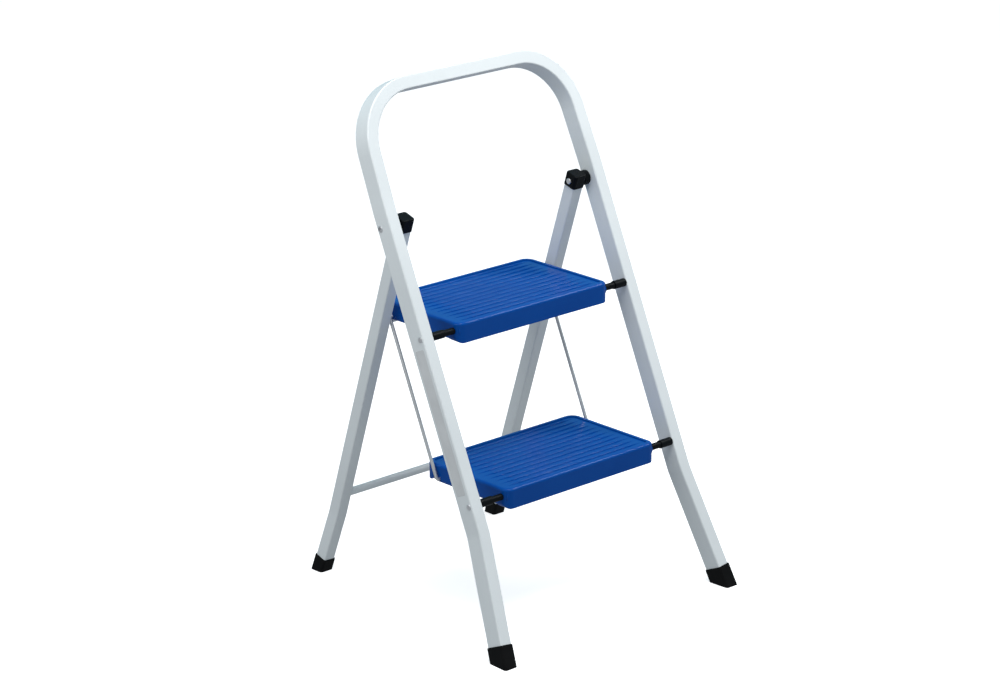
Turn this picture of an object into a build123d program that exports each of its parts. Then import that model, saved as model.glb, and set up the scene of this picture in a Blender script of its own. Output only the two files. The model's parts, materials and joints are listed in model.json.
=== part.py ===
from build123d import *
import os
from math import cos, radians, sin, tan

os.makedirs("parts", exist_ok=True)

# Folding two-step stool. Millimetres and degrees. X runs across the stool, +Y points to
# the rear, +Z is up. The origin lies on the floor under the middle of the opened stool.

# Front frame: one rectangular tube bent into a hoop that leans back
rail_spacing = 420          # over the outer faces of the two rails
front_width = 20            # tube size across the stool
front_depth = 30            # tube size from front to rear
front_lean = 24.0           # from the vertical
hoop_length = 836           # up the rail from the floor to the top of the hoop
hoop_corner = 90            # centre-line radius of the two top corners
toe_in_start = 655          # up the rail, where the hoop begins to narrow
toe_in = 5.5                # each side, at the top
splay_height = 183          # up the rail, where the foot of the rail bends outwards
splay_front = 22            # each side, at the floor
toe_in_radius = 320         # where the hoop begins to narrow
tube_corner = 2.2
tube_wall = 1.5
bend_radius = 80            # where the tubes bend outwards near the floor
below_floor = 20            # extra tube, trimmed off level with the floor

# Rear frame: two straight legs hinged to the inside of the rails
rear_spacing = 356.6        # over the outer faces of the two legs
rear_size = 20              # square tube
rear_lean = 17.9
hinge_up = 634              # hinge axis, up the rail
hinge_behind = 7.5          # hinge axis, behind the rail's centre line
leg_above_hinge = 9
splay_rear_height = 98      # height of the rear leg's bend above the floor
splay_rear = 7.3
crossbar_height = 129
crossbar_radius = 6
support_height = 411        # where the bar's level crosses the rear legs
support_behind = 8          # bar centre, behind the legs' centre line
support_radius = 4.5

# Rubber boots on the four feet
boot_wall = 1.7
boot_floor = 5
front_boot = 27.5
rear_boot = 24
boot_chamfer = 0.8

# Hinge at the top of the rear legs
hinge_shank = 3.5
outer_head_radius = 4.8
outer_head = 1.3
inner_head_radius = 4.4
inner_head = 2.2
head_chamfer = 0.7
head_hollow_radius = 2.6    # the rivets are tubular at their outer end
head_hollow = 3
cap_wall = 1.5
cap_above = 11.8
cap_below = 9.3
cap_corner = 4.5
cap_round = 2
spacer_radius = 11
side_gap = 0.3              # between parts that turn against each other

# Step pivots
step_pivots = {"lower_step": 225.5, "upper_step": 469}    # up the rail
pivot_behind = -9           # in front of the rail's centre line
rod_radius = 3
rod_head_radius = 4.2
rod_head = 1.2
rod_head_chamfer = 0.6
sleeve_radius = 4.9
collar_radius = 6.2
collar_length = 22
fit = 0.05                  # radial play of a shaft in its bore

# Step trays, measured from their own pivot axis
tray_half_width = 148
tray_front = -11.7
tray_rear = 163.3
tray_top = 12.2
tray_wall = 3
deck = 3.6
front_skirt = -18
side_skirt = -14
skirt_step = (0, 12)        # where the front skirt runs up to the side skirt
skirt_corner = 9            # lower corners of the front skirt, seen from the front
front_corner = 13
rear_corner = 17
edge_round = 4
tread_inset = 8             # flat rim round the sunk tread panel
tread_recess = 1.6
web_bottom = -11
web = 2.5
web_pitch = (56, 46)
web_count = (4, 2)
barrel_radius = 9
hook_positions = (-70, 70)
hook_width = 22
hook_throat = 12            # in front of the support bar's axis
hook_below = 5              # below the support bar's axis
hook_thickness = (5, 7)
arch_gap = 2.5

# Link rods that hang the lower step from the upper one
link_radius = 2.5
link_x = 152.5
link_pin_behind = 131.5     # rod pin, from the step's pivot axis
link_pin_below = -9.2
link_pin_end = 133.5
link_bend = 4.2
link_boss_radius = 5.3
link_boss = 4
open_pin_play = 0.5         # the lower pins have play in the lower tray
clip_inset = 1.5
clip = 1.3
clip_radius = 5

lean = radians(front_lean)
slope = radians(rear_lean)
rail_x = (rail_spacing - front_width) / 2
rail_inner = rail_spacing / 2 - front_width
leg_x = (rear_spacing - rear_size) / 2
leg_inner = leg_x - rear_size / 2

# Hinge axis, first measured from where the rails' centre line meets the floor
hinge_y = hinge_up * sin(lean) + hinge_behind * cos(lean)
hinge_z = hinge_up * cos(lean) - hinge_behind * sin(lean)
rear_toe = (rear_size / 2 + boot_wall) / cos(slope)
front_toe = (front_depth / 2 + boot_wall) / cos(lean)
front_y = (front_toe - rear_toe - hinge_y - hinge_z * tan(slope)) / 2
hinge_y += front_y

rail_plane = Plane(origin=(0, front_y, 0), x_dir=(1, 0, 0), z_dir=(0, -cos(lean), sin(lean)))
leg_plane = Plane(origin=(0, hinge_y, hinge_z), x_dir=(1, 0, 0), z_dir=(0, -cos(slope), -sin(slope)))


def on_rail(up, behind):
    """Side-view point (y, z), given along and behind the rails' centre line."""
    return (front_y + up * sin(lean) + behind * cos(lean), up * cos(lean) - behind * sin(lean))


def on_leg(height, behind):
    """Side-view point (y, z) on the rear legs at a height, moved square to them."""
    y = hinge_y + (hinge_z - height) * tan(slope)
    return (y + behind * cos(slope), height + behind * sin(slope))


def across(side, near, far):
    """Plane and length for a round part that runs along X between two distances from the middle."""
    start = near if side > 0 else -far
    return Plane.YZ.offset(start), far - near


pivots = {name: on_rail(up, pivot_behind) for name, up in step_pivots.items()}
crossbar_at = on_leg(crossbar_height, 0)
support_at = on_leg(support_height, support_behind)
sides = {"left": -1, "right": 1}

# ---- Front frame ----
foot_x = rail_x + splay_front
bow_x = rail_x - toe_in
bow_line = hoop_length - front_width / 2
foot_slope = splay_front / splay_height

half_path = [
    (foot_x + below_floor * foot_slope, -below_floor),
    (rail_x, splay_height),
    (rail_x, toe_in_start),
    (bow_x, bow_line),
]
with BuildPart() as front_frame_tube:
    with BuildLine(rail_plane) as hoop:
        FilletPolyline(
            *[(-x, up) for x, up in half_path],
            *reversed(half_path),
            radius=[bend_radius, toe_in_radius, hoop_corner, hoop_corner, toe_in_radius, bend_radius],
        )
    with BuildSketch(Plane(origin=hoop.line @ 0, x_dir=rail_plane.z_dir, z_dir=hoop.line % 0)):
        RectangleRounded(front_depth, front_width, tube_corner)
        RectangleRounded(
            front_depth - 2 * tube_wall,
            front_width - 2 * tube_wall,
            tube_corner - tube_wall,
            mode=Mode.SUBTRACT,
        )
    sweep()
    split(bisect_by=Plane.XY.offset(boot_floor), keep=Keep.TOP)
    with BuildSketch(Plane.YZ.offset(-rail_spacing / 2)):
        with Locations(*pivots.values()):
            Circle(rod_radius + fit)
        with Locations((hinge_y, hinge_z)):
            Circle(hinge_shank + fit)
    extrude(amount=rail_spacing, mode=Mode.SUBTRACT)
front_frame_tube.part.label = "front_frame_tube"
export_step(front_frame_tube.part, "parts/front_frame_tube.step")

# ---- Boots: a moulded cup over each tube end, cut level with the floor ----
front_spread = Vector(-foot_slope, 1).normalized()
rear_drop = splay_rear_height / cos(slope)
rear_spread = Vector(-splay_rear / rear_drop, 1).normalized()
rear_floor_y = hinge_y + hinge_z * tan(slope)
feet = {
    "front_foot": (rail_plane, front_spread, (foot_x, front_y), front_depth, front_width, front_boot),
    "rear_foot": (leg_plane, rear_spread, (leg_x + splay_rear, rear_floor_y), rear_size, rear_size, rear_boot),
}
for foot, (frame_plane, spread, (x, y), depth, width, height) in feet.items():
    for side_name, side in sides.items():
        upwards = frame_plane.x_dir * spread.X * side + frame_plane.y_dir * spread.Y
        foot_plane = Plane(origin=(side * x, y, 0), x_dir=frame_plane.z_dir, z_dir=upwards)
        with BuildPart() as tube_end:
            with BuildSketch(foot_plane):
                RectangleRounded(depth, width, tube_corner)
            extrude(amount=2 * height, both=True)
            split(bisect_by=Plane.XY.offset(boot_floor), keep=Keep.TOP)
        with BuildPart() as boot:
            with BuildSketch(foot_plane):
                RectangleRounded(depth + 2 * boot_wall, width + 2 * boot_wall, tube_corner + boot_wall)
            extrude(amount=height, both=True)
            chamfer(boot.faces().sort_by(Axis(foot_plane.origin, foot_plane.z_dir))[-1].edges(), boot_chamfer)
            split(bisect_by=Plane.XY, keep=Keep.TOP)
            add(tube_end.part, mode=Mode.SUBTRACT)
        boot.part.label = f"{foot}_{side_name}"
        export_step(boot.part, f"parts/{foot}_{side_name}.step")

# ---- Hinge of the rear legs: rivet, spacer and plastic cap ----
cap_half = rear_size / 2 + cap_wall
for side_name, side in sides.items():
    with BuildPart() as leg_pivot_rivet:
        inner_face = leg_x - cap_half - side_gap
        for near, far, radius in (
            (inner_face - inner_head, inner_face, inner_head_radius),
            (inner_face, rail_spacing / 2, hinge_shank),
            (rail_spacing / 2, rail_spacing / 2 + outer_head, outer_head_radius),
        ):
            plane, length = across(side, near, far)
            with BuildSketch(plane):
                with Locations((hinge_y, hinge_z)):
                    Circle(radius)
            extrude(amount=length)
        ends = leg_pivot_rivet.faces().sort_by(Axis.X)
        chamfer((ends[0].edges(), ends[-1].edges()), head_chamfer)
        outer_end = rail_spacing / 2 + outer_head
        plane, length = across(side, outer_end - head_hollow, outer_end)
        with BuildSketch(plane):
            with Locations((hinge_y, hinge_z)):
                Circle(head_hollow_radius)
        extrude(amount=length, mode=Mode.SUBTRACT)
    leg_pivot_rivet.part.label = f"leg_pivot_rivet_{side_name}"
    export_step(leg_pivot_rivet.part, f"parts/leg_pivot_rivet_{side_name}.step")

    with BuildPart() as leg_pivot_spacer:
        plane, length = across(side, leg_x + cap_half + side_gap, rail_inner)
        with BuildSketch(plane):
            with Locations((hinge_y, hinge_z)):
                Circle(spacer_radius)
                Circle(hinge_shank + fit, mode=Mode.SUBTRACT)
        extrude(amount=length)
    leg_pivot_spacer.part.label = f"leg_pivot_spacer_{side_name}"
    export_step(leg_pivot_spacer.part, f"parts/leg_pivot_spacer_{side_name}.step")

    cap_plane = Plane(origin=(side * leg_x, hinge_y, hinge_z), x_dir=(1, 0, 0), z_dir=leg_plane.y_dir)
    with BuildPart() as rear_leg_cap:
        with BuildSketch(cap_plane.offset(-cap_below)):
            RectangleRounded(2 * cap_half, 2 * cap_half, cap_corner)
        extrude(amount=cap_above + cap_below)
        fillet(rear_leg_cap.faces().sort_by(Axis(cap_plane.origin, cap_plane.z_dir))[-1].edges(), cap_round)
        with BuildSketch(cap_plane.offset(-cap_below)):
            RectangleRounded(rear_size, rear_size, tube_corner)
        extrude(amount=leg_above_hinge + cap_below, mode=Mode.SUBTRACT)
        with BuildSketch(Plane.YZ.offset(-rail_spacing / 2)):
            with Locations((hinge_y, hinge_z)):
                Circle(hinge_shank + fit)
        extrude(amount=rail_spacing, mode=Mode.SUBTRACT)
    rear_leg_cap.part.label = f"rear_leg_cap_{side_name}"
    export_step(rear_leg_cap.part, f"parts/rear_leg_cap_{side_name}.step")

# ---- Rear legs ----
bend_down = (hinge_z - splay_rear_height) / cos(slope)
for side_name, side in sides.items():
    with BuildPart() as rear_leg:
        with BuildLine(leg_plane) as leg_path:
            overrun = below_floor / rear_drop
            FilletPolyline(
                (side * leg_x, leg_above_hinge),
                (side * leg_x, -bend_down),
                (side * (leg_x + splay_rear * (1 + overrun)), -bend_down - rear_drop - below_floor),
                radius=bend_radius,
            )
        with BuildSketch(Plane(origin=leg_path.line @ 0, x_dir=leg_plane.z_dir, z_dir=leg_path.line % 0)):
            RectangleRounded(rear_size, rear_size, tube_corner)
            inside = rear_size - 2 * tube_wall
            RectangleRounded(inside, inside, tube_corner - tube_wall, mode=Mode.SUBTRACT)
        sweep()
        split(bisect_by=Plane.XY.offset(boot_floor), keep=Keep.TOP)
        with BuildSketch(Plane.YZ.offset(-rail_spacing / 2)):
            with Locations((hinge_y, hinge_z)):
                Circle(hinge_shank + fit)
        extrude(amount=rail_spacing, mode=Mode.SUBTRACT)
    rear_leg.part.label = f"rear_leg_{side_name}"
    export_step(rear_leg.part, f"parts/rear_leg_{side_name}.step")

# ---- Bars welded between the rear legs ----
with BuildPart() as rear_crossbar:
    with BuildSketch(Plane.YZ.offset(-leg_inner)):
        with Locations(crossbar_at):
            Circle(crossbar_radius)
            Circle(crossbar_radius - tube_wall, mode=Mode.SUBTRACT)
    extrude(amount=2 * leg_inner)
rear_crossbar.part.label = "rear_crossbar"
export_step(rear_crossbar.part, "parts/rear_crossbar.step")

with BuildPart() as step_support_bar:
    with BuildSketch(Plane.YZ.offset(-leg_inner)):
        with Locations(support_at):
            Circle(support_radius)
    extrude(amount=2 * leg_inner)
step_support_bar.part.label = "step_support_bar"
export_step(step_support_bar.part, "parts/step_support_bar.step")

# ---- Steps: pivot rod, spacer sleeves and moulded tray ----
tray_depth = tray_rear - tray_front


def tray_plan(plane, inset):
    """Outline of a tray seen from above, drawn in by an inset; the rear corners are the rounder ones."""
    with BuildSketch(plane) as plan:
        Rectangle(2 * (tray_half_width - inset), tray_depth - 2 * inset)
        fillet(plan.vertices().group_by(Axis.Y)[0], max(front_corner - inset, edge_round))
        fillet(plan.vertices().group_by(Axis.Y)[-1], max(rear_corner - inset, edge_round))
    return plan.sketch


hook_y = support_at[0] - pivots["upper_step"][0]
hook_z = support_at[1] - pivots["upper_step"][1]
hook_clear = support_radius + side_gap
for step, (pivot_y, pivot_z) in pivots.items():
    with BuildPart() as pivot_rod:
        with BuildSketch(Plane.YZ.offset(-rail_spacing / 2)):
            with Locations((pivot_y, pivot_z)):
                Circle(rod_radius)
        extrude(amount=rail_spacing)
        for side in sides.values():
            plane, length = across(side, rail_spacing / 2, rail_spacing / 2 + rod_head)
            with BuildSketch(plane):
                with Locations((pivot_y, pivot_z)):
                    Circle(rod_head_radius)
            extrude(amount=length)
        ends = pivot_rod.faces().sort_by(Axis.X)
        chamfer((ends[0].edges(), ends[-1].edges()), rod_head_chamfer)
    pivot_rod.part.label = f"{step}_pivot_rod"
    export_step(pivot_rod.part, f"parts/{step}_pivot_rod.step")

    for side_name, side in sides.items():
        with BuildPart() as sleeve:
            for near, radius in (
                (tray_half_width + side_gap, sleeve_radius),
                (rail_inner - collar_length, collar_radius),
            ):
                plane, length = across(side, near, rail_inner)
                with BuildSketch(plane):
                    with Locations((pivot_y, pivot_z)):
                        Circle(radius)
                extrude(amount=length)
            with BuildSketch(Plane.YZ.offset(-rail_spacing / 2)):
                with Locations((pivot_y, pivot_z)):
                    Circle(rod_radius + fit)
            extrude(amount=rail_spacing, mode=Mode.SUBTRACT)
        sleeve.part.label = f"{step}_sleeve_{side_name}"
        export_step(sleeve.part, f"parts/{step}_sleeve_{side_name}.step")

    side_view = Plane(origin=(0, pivot_y, pivot_z), x_dir=(0, 1, 0), z_dir=(1, 0, 0))
    front_view = Plane(origin=(0, pivot_y, pivot_z), x_dir=(1, 0, 0), z_dir=(0, -1, 0))
    top_view = Plane(origin=(0, pivot_y + (tray_front + tray_rear) / 2, pivot_z))
    pocket_top = tray_top - deck
    inner_half = tray_half_width - tray_wall
    pin_play = fit if step == "upper_step" else open_pin_play
    with BuildPart() as step_tray:
        extrude(tray_plan(top_view.offset(front_skirt), 0), amount=tray_top - front_skirt)
        fillet(step_tray.faces().sort_by(Axis.Z)[-1].edges(), edge_round)
        # lower corners of the front skirt
        with BuildSketch(front_view.offset(-tray_rear)) as front_outline:
            with Locations((0, (tray_top + front_skirt) / 2)):
                Rectangle(2 * tray_half_width, tray_top - front_skirt)
            fillet(front_outline.vertices().group_by(Axis.Y)[0], skirt_corner)
        extrude(amount=tray_rear - tray_front, mode=Mode.INTERSECT)
        # shallower skirt along the sides and the rear
        with BuildSketch(side_view.offset(-tray_half_width)):
            with BuildLine():
                Polyline(
                    (skirt_step[0], front_skirt),
                    (skirt_step[1], side_skirt),
                    (tray_rear, side_skirt),
                    (tray_rear, front_skirt),
                    (skirt_step[0], front_skirt),
                )
            make_face()
            # arch over the support bar
            with Locations((hook_y, hook_z)):
                Circle(hook_clear + arch_gap)
        extrude(amount=2 * tray_half_width, mode=Mode.SUBTRACT)
        # hollow underside
        extrude(
            tray_plan(top_view.offset(front_skirt), tray_wall),
            amount=pocket_top - front_skirt,
            mode=Mode.SUBTRACT,
        )
        # sunk tread panel, which carries the ribs
        extrude(
            tray_plan(top_view.offset(tray_top - tread_recess), tread_inset),
            amount=tread_recess,
            mode=Mode.SUBTRACT,
        )
        # stiffening webs under the deck
        with BuildSketch(top_view.offset(web_bottom)):
            with GridLocations(web_pitch[0], 0, web_count[0], 1):
                Rectangle(web, tray_depth - 2 * tray_wall)
            with GridLocations(0, web_pitch[1], 1, web_count[1]):
                Rectangle(2 * inner_half, web)
        extrude(amount=pocket_top - web_bottom)
        # barrel round the pivot rod
        with BuildSketch(side_view.offset(-inner_half)):
            Circle(barrel_radius)
            with Locations((0, pocket_top / 2)):
                Rectangle(barrel_radius, pocket_top)
        extrude(amount=2 * inner_half)
        # bosses for the link rod pins
        for side in sides.values():
            plane, length = across(side, inner_half - link_boss, inner_half)
            with BuildSketch(plane):
                with Locations((pivot_y + link_pin_behind, pivot_z + link_pin_below)):
                    Circle(link_boss_radius)
            extrude(amount=length)
        # hooks that drop over the support bar and hold it from behind
        hook_front = hook_y - hook_throat
        bar_behind = hook_y + hook_clear
        for x in hook_positions:
            with BuildSketch(side_view.offset(x - hook_width / 2)):
                with BuildLine():
                    Polyline(
                        (hook_front, pocket_top),
                        (hook_front, hook_z + hook_clear),
                        (hook_y, hook_z + hook_clear),
                        (bar_behind, hook_z),
                        (bar_behind, hook_z - hook_below),
                        (bar_behind + hook_thickness[0], hook_z - hook_below),
                        (bar_behind + hook_thickness[1], hook_z),
                        (bar_behind + hook_thickness[1], pocket_top),
                        (hook_front, pocket_top),
                    )
                make_face()
            extrude(amount=hook_width)
        # bores
        with BuildSketch(side_view.offset(-tray_half_width)):
            Circle(rod_radius + fit)
            with Locations((hook_y, hook_z)):
                Circle(hook_clear)
            with Locations((link_pin_behind, link_pin_below)):
                Circle(link_radius + pin_play)
        extrude(amount=2 * tray_half_width, mode=Mode.SUBTRACT)
    step_tray.part.label = f"{step}_tray"
    export_step(step_tray.part, f"parts/{step}_tray.step")

# ---- Link rods: round wire with both ends turned in, held by push-on clips ----
low_pin = (pivots["lower_step"][0] + link_pin_behind, pivots["lower_step"][1] + link_pin_below)
high_pin = (pivots["upper_step"][0] + link_pin_behind, pivots["upper_step"][1] + link_pin_below)
run = step_pivots["upper_step"] - step_pivots["lower_step"]
link_plane = Plane(origin=(0, *low_pin), x_dir=(1, 0, 0), z_dir=rail_plane.z_dir)
for side_name, side in sides.items():
    with BuildPart() as link_rod:
        with BuildLine(link_plane) as wire:
            FilletPolyline(
                (side * link_pin_end, 0),
                (side * link_x, 0),
                (side * link_x, run),
                (side * link_pin_end, run),
                radius=link_bend,
            )
        with BuildSketch(Plane(origin=wire.line @ 0, z_dir=wire.line % 0)):
            Circle(link_radius)
        sweep()
    link_rod.part.label = f"link_rod_{side_name}"
    export_step(link_rod.part, f"parts/link_rod_{side_name}.step")

    with BuildPart() as link_rod_clips:
        plane, length = across(side, link_pin_end + clip_inset, link_pin_end + clip_inset + clip)
        with BuildSketch(plane):
            with Locations(low_pin, high_pin):
                Circle(clip_radius)
                Circle(link_radius + fit, mode=Mode.SUBTRACT)
        extrude(amount=length)
    link_rod_clips.part.label = f"link_rod_clips_{side_name}"
    export_step(link_rod_clips.part, f"parts/link_rod_clips_{side_name}.step")
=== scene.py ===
import json
import math

import bmesh
import bpy
from mathutils import Matrix, Vector


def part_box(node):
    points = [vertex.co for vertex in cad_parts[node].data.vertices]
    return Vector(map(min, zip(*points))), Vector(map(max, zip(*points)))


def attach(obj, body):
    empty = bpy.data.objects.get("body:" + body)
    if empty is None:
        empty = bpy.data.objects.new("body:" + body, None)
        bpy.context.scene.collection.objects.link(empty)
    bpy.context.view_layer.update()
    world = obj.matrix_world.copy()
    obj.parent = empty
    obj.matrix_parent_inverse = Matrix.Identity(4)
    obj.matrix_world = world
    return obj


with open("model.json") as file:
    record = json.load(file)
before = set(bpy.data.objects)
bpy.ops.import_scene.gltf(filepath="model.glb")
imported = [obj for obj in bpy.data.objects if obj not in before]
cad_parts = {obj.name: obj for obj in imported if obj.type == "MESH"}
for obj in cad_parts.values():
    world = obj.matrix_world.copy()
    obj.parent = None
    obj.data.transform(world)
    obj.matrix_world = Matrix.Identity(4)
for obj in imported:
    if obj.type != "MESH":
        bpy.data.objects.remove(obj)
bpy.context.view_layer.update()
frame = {"nodes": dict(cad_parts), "record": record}

mm = 0.001


def middleOf(node):
    low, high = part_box(node)
    return (low + high) / 2


class Wire:  # an output socket that can stand in a sum
    def __init__(self, tree, socket):
        self.tree, self.socket = tree, socket

    def maths(self, operation, first, second):
        return self.tree.add("ShaderNodeMath", {"operation": operation}, {0: first, 1: second})

    def __add__(self, other):
        return self.maths("ADD", self, other)

    __radd__ = __add__

    def __sub__(self, other):
        return self.maths("SUBTRACT", self, other)

    def __rsub__(self, other):
        return self.maths("SUBTRACT", other, self)

    def __mul__(self, other):
        return self.maths("MULTIPLY", self, other)

    __rmul__ = __mul__

    def __truediv__(self, other):
        return self.maths("DIVIDE", self, other)

    def __pow__(self, other):
        return self.maths("POWER", self, other)


class Tree:  # adds nodes to a shader or a geometry tree
    def __init__(self, nodeTree):
        self.nodeTree = nodeTree

    def add(self, kind, settings=None, inputs=None, out=0):
        node = self.nodeTree.nodes.new(kind)
        for name, value in (settings or {}).items():
            if name == "stops":
                self.setStops(node.color_ramp, value)
            else:
                setattr(node, name, value)
        for key, value in (inputs or {}).items():
            self.feed(node.inputs[key], value)
        return Wire(self, node.outputs[out]) if len(node.outputs) else node

    def feed(self, socket, value):
        if isinstance(value, Wire):
            self.nodeTree.links.new(value.socket, socket)
        else:
            socket.default_value = value

    def setStops(self, ramp, stops):
        while len(ramp.elements) < len(stops):
            ramp.elements.new(0.5)
        for element, (place, colour) in zip(ramp.elements, stops):
            element.position = place
            element.color = colour

    def noise(self, place, scale, detail=2.0, roughness=0.5):
        return self.add(
            "ShaderNodeTexNoise",
            inputs={"Vector": place, "Scale": scale, "Detail": detail, "Roughness": roughness},
        )

    def ramp(self, value, low, high, start=0.0, end=1.0):  # value between low and high, as start to end
        return self.add(
            "ShaderNodeMapRange",
            inputs={"Value": value, "From Min": low, "From Max": high, "To Min": start, "To Max": end},
        )

    def mixColours(self, share, first, second):
        return self.add(
            "ShaderNodeMix",
            {"data_type": "RGBA"},
            {"Factor": share, 6: first, 7: second},
            out=2,
        )

    def bump(self, height, strength, distance):
        return self.add(
            "ShaderNodeBump",
            inputs={"Height": height, "Strength": strength, "Distance": distance},
        )


def newMaterial(name, fixed):
    material = bpy.data.materials.new(name)
    material.use_nodes = True
    shader = Tree(material.node_tree)
    material.node_tree.nodes.clear()
    surface = material.node_tree.nodes.new("ShaderNodeBsdfPrincipled")
    for socket, value in fixed.items():
        surface.inputs[socket].default_value = value
    shader.surface = surface
    shader.add("ShaderNodeOutputMaterial", inputs={"Surface": Wire(shader, surface.outputs[0])})
    place = shader.add("ShaderNodeTexCoord", out="Object")
    return material, shader, place


powderCoat = {
    "colour": (0.775, 0.82, 0.835, 1),
    "shade": (0.73, 0.775, 0.79, 1),
    "cloudScale": 9,
    "peelScale": 900,
    "peelDepth": 0.03 * mm,
    "roughness": (0.30, 0.40),
    "specular": 0.4,
}


def makePowderCoat():
    material, shader, place = newMaterial("powderCoat", {"Specular IOR Level": powderCoat["specular"]})
    cloud = shader.noise(place, powderCoat["cloudScale"], 3)
    peel = shader.noise(place, powderCoat["peelScale"], 1)
    grain = shader.noise(place, 3.3 * powderCoat["peelScale"], 1)
    colour = shader.mixColours(shader.ramp(cloud, 0.35, 0.7), powderCoat["colour"], powderCoat["shade"])
    shader.feed(shader.surface.inputs["Base Color"], colour)
    rough = shader.ramp(cloud * 0.6 + peel * 0.4, 0.3, 0.7, *powderCoat["roughness"])
    shader.feed(shader.surface.inputs["Roughness"], rough)
    shader.feed(
        shader.surface.inputs["Normal"],
        shader.bump(peel + grain * 0.25, 0.6, powderCoat["peelDepth"]),
    )
    return material


bluePlastic = {
    "colour": (0.0005, 0.069, 0.345, 1),
    "deep": (0.0003, 0.060, 0.31, 1),
    "roughness": (0.13, 0.20),
    "specular": 0.12,
    "flowScale": 14,
    "grainScale": 1400,
    "grainDepth": 0.012 * mm,
}


def makeBluePlastic():
    material, shader, place = newMaterial("bluePlastic", {"Specular IOR Level": bluePlastic["specular"]})
    flow = shader.noise(place, bluePlastic["flowScale"], 4, 0.6)
    grain = shader.noise(place, bluePlastic["grainScale"], 2)
    colour = shader.mixColours(shader.ramp(flow, 0.3, 0.7), bluePlastic["colour"], bluePlastic["deep"])
    shader.feed(shader.surface.inputs["Base Color"], colour)
    rough = shader.ramp(flow * 0.7 + grain * 0.3, 0.3, 0.7, *bluePlastic["roughness"])
    shader.feed(shader.surface.inputs["Roughness"], rough)
    shader.feed(shader.surface.inputs["Normal"], shader.bump(grain, 0.4, bluePlastic["grainDepth"]))
    return material


blackPlastic = {
    "colour": (0.0022, 0.0034, 0.0045, 1),
    "worn": (0.004, 0.0055, 0.0065, 1),
    "roughness": (0.34, 0.5),
    "specular": 0.09,
    "cloudScale": 45,
    "grainScale": 1800,
    "grainDepth": 0.03 * mm,
}
blackRubber = {
    "colour": (0.003, 0.0032, 0.0036, 1),
    "worn": (0.006, 0.0062, 0.0066, 1),
    "roughness": (0.55, 0.75),
    "specular": 0.1,
    "cloudScale": 45,
    "grainScale": 1300,
    "grainDepth": 0.05 * mm,
}


def makeBlack(name, look):  # moulding grain, with dull patches where it is handled
    material, shader, place = newMaterial(name, {"Specular IOR Level": look["specular"]})
    cloud = shader.noise(place, look["cloudScale"], 4, 0.6)
    grain = shader.noise(place, look["grainScale"], 2)
    colour = shader.mixColours(shader.ramp(cloud, 0.35, 0.75), look["colour"], look["worn"])
    shader.feed(shader.surface.inputs["Base Color"], colour)
    rough = shader.ramp(cloud * 0.5 + grain * 0.5, 0.3, 0.7, *look["roughness"])
    shader.feed(shader.surface.inputs["Roughness"], rough)
    shader.feed(shader.surface.inputs["Normal"], shader.bump(grain, 0.5, look["grainDepth"]))
    return material


zincSteel = {
    "colour": (0.86, 0.87, 0.88, 1),
    "dull": (0.66, 0.67, 0.69, 1),
    "roughness": (0.32, 0.5),
    "streak": (900, 900, 900),
    "cloudScale": 60,
    "scratchDepth": 0.02 * mm,
}
linkSteel = {
    "colour": (0.80, 0.81, 0.82, 1),
    "dull": (0.62, 0.63, 0.64, 1),
    "roughness": (0.42, 0.6),
    "streak": (1600, 1600, 60),  # drawn along the wire
    "cloudScale": 60,
    "scratchDepth": 0.02 * mm,
}


def makeSteel(name, look):
    material, shader, place = newMaterial(name, {"Metallic": 1.0})
    stretched = shader.add("ShaderNodeMapping", inputs={"Vector": place, "Scale": look["streak"]})
    streak = shader.noise(stretched, 1, 3)
    cloud = shader.noise(place, look["cloudScale"], 4, 0.6)
    share = shader.ramp(cloud * 0.5 + streak * 0.5, 0.35, 0.65)
    shader.feed(shader.surface.inputs["Base Color"], shader.mixColours(share, look["colour"], look["dull"]))
    shader.feed(shader.surface.inputs["Roughness"], shader.ramp(share, 0, 1, *look["roughness"]))
    shader.feed(shader.surface.inputs["Normal"], shader.bump(streak, 0.3, look["scratchDepth"]))
    return material


labelFilm = {
    "colour": (0.70, 0.72, 0.73, 1),
    "edge": (0.62, 0.64, 0.65, 1),
    "roughness": (0.18, 0.26),
    "cloudScale": 30,
    "waveDepth": 0.05 * mm,
}


def makeLabelFilm():
    material, shader, place = newMaterial("labelFilm", {"Specular IOR Level": 0.4})
    cloud = shader.noise(place, labelFilm["cloudScale"], 3)
    colour = shader.mixColours(shader.ramp(cloud, 0.3, 0.7), labelFilm["colour"], labelFilm["edge"])
    shader.feed(shader.surface.inputs["Base Color"], colour)
    shader.feed(shader.surface.inputs["Roughness"], shader.ramp(cloud, 0.3, 0.7, *labelFilm["roughness"]))
    shader.feed(shader.surface.inputs["Normal"], shader.bump(cloud, 0.2, labelFilm["waveDepth"]))
    return material


finishes = {
    "white_frame": makePowderCoat(),
    "blue_plastic": makeBluePlastic(),
    "black_plastic": makeBlack("blackPlastic", blackPlastic),
    "black_rubber": makeBlack("blackRubber", blackRubber),
    "bright_steel": makeSteel("zincSteel", zincSteel),
    "link_steel": makeSteel("linkSteel", linkSteel),
}
for part in frame["record"]["subparts"]:
    mesh = frame["nodes"][part["node"]].data
    mesh.materials.clear()
    mesh.materials.append(finishes[part["material_slot"]])
print("materials:", ", ".join(sorted(finishes)))


def newGeometryTree(name, inputs):
    nodeTree = bpy.data.node_groups.new(name, "GeometryNodeTree")
    nodeTree.interface.new_socket("Geometry", in_out="OUTPUT", socket_type="NodeSocketGeometry")
    nodeTree.interface.new_socket("Geometry", in_out="INPUT", socket_type="NodeSocketGeometry")
    for label, kind in inputs.items():
        nodeTree.interface.new_socket(label, in_out="INPUT", socket_type="NodeSocket" + kind)
    tree = Tree(nodeTree)
    source = nodeTree.nodes.new("NodeGroupInput")
    tree.given = {socket.name: Wire(tree, socket) for socket in source.outputs if socket.name}
    return tree


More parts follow.
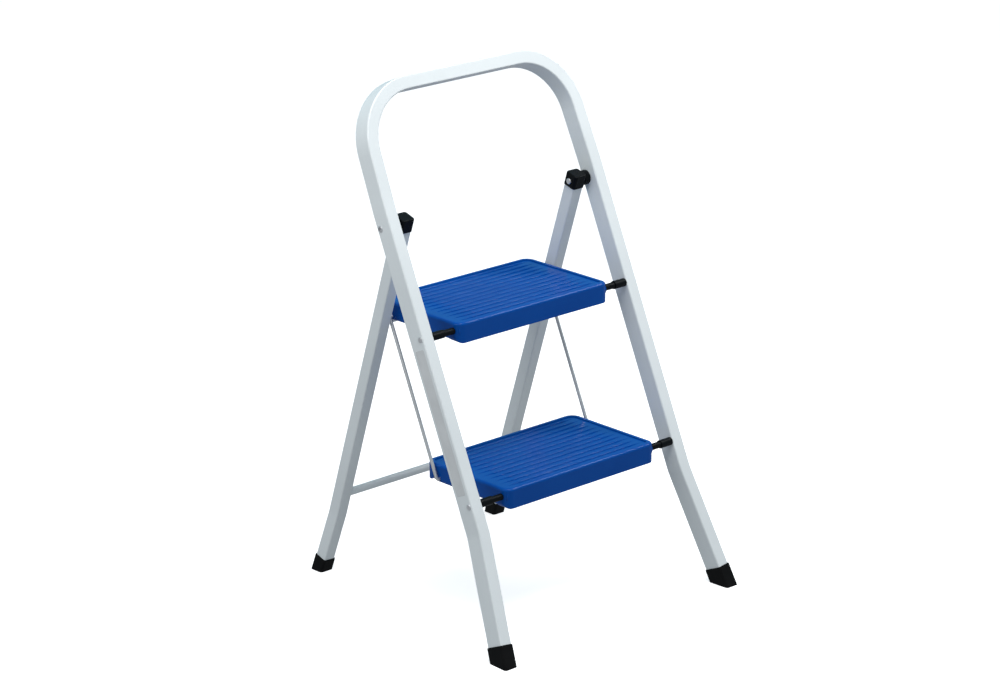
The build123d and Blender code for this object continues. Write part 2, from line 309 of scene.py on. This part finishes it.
def endTree(tree, geometry, material):
    real = tree.add("GeometryNodeRealizeInstances", inputs={"Geometry": geometry})
    painted = tree.add("GeometryNodeSetMaterial", inputs={"Geometry": real, "Material": material})
    tree.add("NodeGroupOutput", inputs={"Geometry": painted})


def grow(tree, name, values, points, material):  # runs the tree on some points, as a plain mesh object
    base = bpy.data.meshes.new(name + "Base")
    base.from_pydata(points, [], [])
    piece = bpy.data.objects.new(name, base)
    bpy.context.scene.collection.objects.link(piece)
    modifier = piece.modifiers.new("grow", "NODES")
    modifier.node_group = tree.nodeTree
    for item in tree.nodeTree.interface.items_tree:
        if item.in_out == "INPUT" and item.name in values:
            modifier[item.identifier] = values[item.name]
    evaluated = piece.evaluated_get(bpy.context.evaluated_depsgraph_get())
    mesh = bpy.data.meshes.new_from_object(evaluated)
    piece.modifiers.remove(modifier)
    piece.data = mesh
    mesh.name = name
    if not mesh.materials:
        mesh.materials.append(material)
    return piece


# ribs on the treads
ribs = {
    "count": 12,
    "inset": 12 * mm,  # end of a rib from the tray's edge
    "pitch": 13 * mm,
    "width": 3.6 * mm,
    "rise": 1.95 * mm,  # above the sunk panel
    "sunk": 1.6 * mm,  # panel below the rim
    "samples": 41,  # points along a rib
    "sides": 20,  # points round it
}


def makeRibTree():
    tree = newGeometryTree(
        "treadRibs",
        {"Count": "Int", "Pitch": "Float", "Length": "Float", "Width": "Float", "Rise": "Float"},
    )
    given = tree.given
    half = given["Length"] / 2
    start = tree.add("ShaderNodeCombineXYZ", inputs={"X": half * -1})
    end = tree.add("ShaderNodeCombineXYZ", inputs={"X": half})
    line = tree.add("GeometryNodeCurvePrimitiveLine", inputs={"Start": start, "End": end})
    line = tree.add("GeometryNodeResampleCurve", inputs={"Curve": line, "Count": ribs["samples"]})
    # points are drawn towards the ends, so that the ends come out round
    share = tree.add("GeometryNodeSplineParameter", out="Factor")
    centred = share * 2 - 1
    reach = tree.add("ShaderNodeMath", {"operation": "ABSOLUTE"}, {0: centred})
    side = tree.add("ShaderNodeMath", {"operation": "SIGN"}, {0: centred})
    drawn = 1 - (1 - reach) ** 3
    along = side * drawn
    place = tree.add("ShaderNodeCombineXYZ", inputs={"X": along * half})
    line = tree.add("GeometryNodeSetPosition", inputs={"Geometry": line, "Position": place})
    toEnd = (1 - drawn) * half / (given["Width"] / 2)
    near = tree.add("ShaderNodeMath", {"operation": "MINIMUM"}, {0: toEnd, 1: 1.0})
    full = 1 - (1 - near) ** 2
    radius = tree.add("ShaderNodeMath", {"operation": "SQRT"}, {0: full})
    profile = tree.add(
        "GeometryNodeCurvePrimitiveCircle",
        inputs={"Resolution": ribs["sides"], "Radius": 1.0},
    )
    squash = tree.add(
        "ShaderNodeCombineXYZ",
        inputs={"X": given["Width"] / 2, "Y": given["Rise"], "Z": 1.0},
    )
    profile = tree.add("GeometryNodeTransform", inputs={"Geometry": profile, "Scale": squash})
    rib = tree.add(
        "GeometryNodeCurveToMesh",
        inputs={"Curve": line, "Profile Curve": profile, "Scale": radius, "Fill Caps": True},
    )
    rib = tree.add("GeometryNodeMergeByDistance", inputs={"Geometry": rib, "Distance": 0.00002})
    rib = tree.add("GeometryNodeSetShadeSmooth", inputs={"Geometry": rib, "Shade Smooth": True})
    span = given["Pitch"] * (given["Count"] - 1)
    first = tree.add("ShaderNodeCombineXYZ", inputs={"Y": span * -0.5})
    step = tree.add("ShaderNodeCombineXYZ", inputs={"Y": given["Pitch"]})
    row = tree.add(
        "GeometryNodeMeshLine",
        inputs={"Count": given["Count"], "Start Location": first, "Offset": step},
    )
    placed = tree.add("GeometryNodeInstanceOnPoints", inputs={"Points": row, "Instance": rib})
    placed = tree.add("GeometryNodeRealizeInstances", inputs={"Geometry": placed})
    onStep = tree.add(
        "GeometryNodeInstanceOnPoints",
        inputs={"Points": given["Geometry"], "Instance": placed},
    )
    endTree(tree, onStep, finishes["blue_plastic"])
    return tree


ribTree = makeRibTree()
for body in ("upper_step", "lower_step"):
    low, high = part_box(body + "_tray")
    panel = (0, (low.y + high.y) / 2, high.z - ribs["sunk"])
    values = {
        "Count": ribs["count"],
        "Pitch": ribs["pitch"],
        "Length": high.x - low.x - 2 * ribs["inset"],
        "Width": ribs["width"],
        "Rise": ribs["rise"],
    }
    tread = grow(ribTree, body + "_ribs", values, [panel], finishes["blue_plastic"])
    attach(tread, body)
    print(tread.name, len(tread.data.polygons), "faces")


# a bead of weld round each end of the two bars between the rear legs
welds = {
    "beads": 16,
    "size": 1.5 * mm,
    "spread": 0.5 * mm,  # bead centres outside the bar's surface
    "sizes": (0.82, 1.12),  # smallest and largest bead, as shares of the size
    "flat": 0.75,
    "seed": 7,
    "bars": {"rear_crossbar": "crossbar_welds", "step_support_bar": "support_bar_welds"},
}


def makeWeldTree():
    tree = newGeometryTree(
        "weldBeads",
        {"Beads": "Int", "Ring Radius": "Float", "Bead Size": "Float", "Flat": "Float", "Seed": "Int"},
    )
    given = tree.given
    ring = tree.add(
        "GeometryNodeMeshCircle",
        inputs={"Vertices": given["Beads"], "Radius": given["Ring Radius"]},
    )
    quarter = tree.add("ShaderNodeCombineXYZ", inputs={"X": 0.0, "Y": math.pi / 2, "Z": 0.0})
    ring = tree.add("GeometryNodeTransform", inputs={"Geometry": ring, "Rotation": quarter})
    bead = tree.add("GeometryNodeMeshIcoSphere", inputs={"Radius": given["Bead Size"], "Subdivisions": 3})
    bead = tree.add("GeometryNodeSetShadeSmooth", inputs={"Geometry": bead, "Shade Smooth": True})
    squash = tree.add("ShaderNodeCombineXYZ", inputs={"X": given["Flat"], "Y": 1.0, "Z": 1.0})
    bead = tree.add("GeometryNodeTransform", inputs={"Geometry": bead, "Scale": squash})
    size = tree.add(
        "FunctionNodeRandomValue",
        {"data_type": "FLOAT"},
        {"Min": welds["sizes"][0], "Max": welds["sizes"][1], "Seed": given["Seed"]},
        out=1,
    )
    beads = tree.add(
        "GeometryNodeInstanceOnPoints",
        inputs={"Points": ring, "Instance": bead, "Scale": size},
    )
    beads = tree.add("GeometryNodeRealizeInstances", inputs={"Geometry": beads})
    onBar = tree.add("GeometryNodeInstanceOnPoints", inputs={"Points": given["Geometry"], "Instance": beads})
    endTree(tree, onBar, finishes["white_frame"])
    return tree


weldTree = makeWeldTree()
for bar, name in welds["bars"].items():
    low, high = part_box(bar)
    middle = middleOf(bar)
    values = {
        "Beads": welds["beads"],
        "Ring Radius": (high.z - low.z) / 2 + welds["spread"],
        "Bead Size": welds["size"],
        "Flat": welds["flat"],
        "Seed": welds["seed"],
    }
    ends = [(low.x, middle.y, middle.z), (high.x, middle.y, middle.z)]
    beads = grow(weldTree, name, values, ends, finishes["white_frame"])
    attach(beads, "rear_frame")
    print(beads.name, len(beads.data.polygons), "faces")


# a plain strip of film on the left rail's outer face, without any marks; millimetres and degrees
railLabel = {
    "up": (243, 455),  # ends of the strip, up the rail
    "behind": (-9.5, 9.5),  # its sides, from the middle of the rail
    "corner": 3,
    "cornerSteps": 6,
    "thick": 0.15,
    "railLean": 24.0,
    "railOuter": -210.0,
    "pivotUp": 469,  # the upper step's pivot, up the rail
    "pivotAhead": 9,  # and in front of the rail's middle
}


def makeLabel():
    lean = math.radians(railLabel["railLean"])
    outer = railLabel["railOuter"] * mm
    upperPivot = middleOf("upper_step_pivot_rod")
    along = (upperPivot - middleOf("lower_step_pivot_rod")).normalized()
    across = Vector((0, math.cos(lean), -math.sin(lean)))
    start = upperPivot - along * railLabel["pivotUp"] * mm + across * railLabel["pivotAhead"] * mm
    (low, high), (front, back) = railLabel["up"], railLabel["behind"]
    corner = railLabel["corner"]
    steps = railLabel["cornerSteps"]
    outline = []
    for centreUp, centreBehind, turn in (
        (low + corner, front + corner, 180),
        (low + corner, back - corner, 270),
        (high - corner, back - corner, 0),
        (high - corner, front + corner, 90),
    ):
        for step in range(steps + 1):
            angle = math.radians(turn + 90 * step / steps)
            behind = centreBehind + corner * math.cos(angle)
            up = centreUp + corner * math.sin(angle)
            outline.append(start + along * up * mm + across * behind * mm)
    mesh = bmesh.new()
    face = mesh.faces.new([mesh.verts.new((outer, point.y, point.z)) for point in outline])
    raised = bmesh.ops.extrude_face_region(mesh, geom=[face])
    moved = [item for item in raised["geom"] if isinstance(item, bmesh.types.BMVert)]
    bmesh.ops.translate(mesh, verts=moved, vec=(-railLabel["thick"] * mm, 0, 0))
    bmesh.ops.recalc_face_normals(mesh, faces=mesh.faces)
    data = bpy.data.meshes.new("rail_label")
    mesh.to_mesh(data)
    mesh.free()
    data.materials.append(makeLabelFilm())
    label = bpy.data.objects.new("rail_label", data)
    bpy.context.scene.collection.objects.link(label)
    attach(label, "front_frame")
    print(label.name, len(data.polygons), "faces")


makeLabel()


# floor, light and camera
studio = {
    "floorSize": 60.0,
    "floorColour": (0.90, 0.905, 0.91, 1),
    "floorGlow": 0.62,
    "above": (0.44, 0.46, 0.48, 1),
    "around": (0.30, 0.335, 0.355, 1),
    "behind": (0.13, 0.40, 0.50, 1),
    "below": (0.37, 0.39, 0.41, 1),
    "backdrop": (1, 1, 1, 1),  # seen past the floor's edge
    "awayFromCamera": (0.678, 0.735, 0),
}
lamps = {  # place, aimed at, size, watts
    "key": ((-0.3, -0.85, 2.75), (0, 0, 0.35), 1.2, 40),
    "left": ((-1.35, 0.1, 1.15), (-0.2, 0, 0.45), 0.7, 5.2),
    "right": ((1.55, -0.75, 2.1), (0, 0, 0.35), 0.6, 17),
}
view = {
    "azimuth": -42.664,
    "elevation": 18.256,
    "roll": -0.163,
    "distance": 4.9995,
    "aim": (-0.0375, -0.0171, 0.3806),
    "lens": 125.03,
    "sensor": 36.0,
}


def faceObject(thing, place, target):
    thing.location = place
    direction = Vector(target) - Vector(place)
    thing.rotation_mode = "QUATERNION"
    thing.rotation_quaternion = direction.to_track_quat("-Z", "Y")


def makeFloor():
    half = studio["floorSize"] / 2
    mesh = bpy.data.meshes.new("floor")
    corners = [(-half, -half, 0), (half, -half, 0), (half, half, 0), (-half, half, 0)]
    mesh.from_pydata(corners, [], [(0, 1, 2, 3)])
    floor = bpy.data.objects.new("floor", mesh)
    bpy.context.scene.collection.objects.link(floor)
    fixed = {
        "Base Color": studio["floorColour"],
        "Roughness": 0.9,
        "Specular IOR Level": 0.0,
        "Emission Color": (1, 1, 1, 1),
        "Emission Strength": studio["floorGlow"],
    }
    material, shader, place = newMaterial("paleFloor", fixed)
    floor.visible_glossy = False
    floor.visible_diffuse = False
    mesh.materials.append(material)


def makeLights():
    world = bpy.data.worlds.new("studio")
    world.use_nodes = True
    sky = Tree(world.node_tree)
    world.node_tree.nodes.clear()
    direction = sky.add("ShaderNodeTexCoord", out="Generated")
    height = sky.add("ShaderNodeSeparateXYZ", inputs={0: direction}, out="Z")
    away = sky.add(
        "ShaderNodeVectorMath",
        {"operation": "DOT_PRODUCT"},
        {0: direction, 1: studio["awayFromCamera"]},
        out="Value",
    )
    sides = sky.mixColours(sky.ramp(away, 0.1, 0.8), studio["around"], studio["behind"])
    upper = sky.mixColours(sky.ramp(height, 0.4, 0.8), sides, studio["above"])
    colour = sky.mixColours(sky.ramp(height, -0.08, 0.02), studio["below"], upper)
    seen = sky.add("ShaderNodeLightPath", out="Is Camera Ray")
    colour = sky.mixColours(seen, colour, studio["backdrop"])
    background = sky.add("ShaderNodeBackground", inputs={"Color": colour})
    sky.add("ShaderNodeOutputWorld", inputs={"Surface": background})
    bpy.context.scene.world = world
    for name, (place, target, size, watts) in lamps.items():
        light = bpy.data.lights.new(name, "AREA")
        light.size = size
        light.energy = watts
        lamp = bpy.data.objects.new(name, light)
        bpy.context.scene.collection.objects.link(lamp)
        faceObject(lamp, place, target)


def makeCamera():
    azimuth, elevation, roll = (math.radians(view[key]) for key in ("azimuth", "elevation", "roll"))
    back = Vector((
        math.sin(azimuth) * math.cos(elevation),
        -math.cos(azimuth) * math.cos(elevation),
        math.sin(elevation),
    ))
    right = Vector((math.cos(azimuth), math.sin(azimuth), 0))
    up = back.cross(right)
    turnedRight = right * math.cos(roll) + up * math.sin(roll)
    turnedUp = up * math.cos(roll) - right * math.sin(roll)
    data = bpy.data.cameras.new("camera")
    data.lens = view["lens"]
    data.sensor_width = view["sensor"]
    data.clip_end = 200
    camera = bpy.data.objects.new("camera", data)
    bpy.context.scene.collection.objects.link(camera)
    matrix = Matrix((turnedRight, turnedUp, back)).transposed().to_4x4()
    matrix.translation = Vector(view["aim"]) + back * view["distance"]
    camera.matrix_world = matrix
    bpy.context.scene.camera = camera


makeFloor()
makeLights()
makeCamera()
bpy.context.scene.view_settings.view_transform = "Standard"
print("floor, light and camera ready")
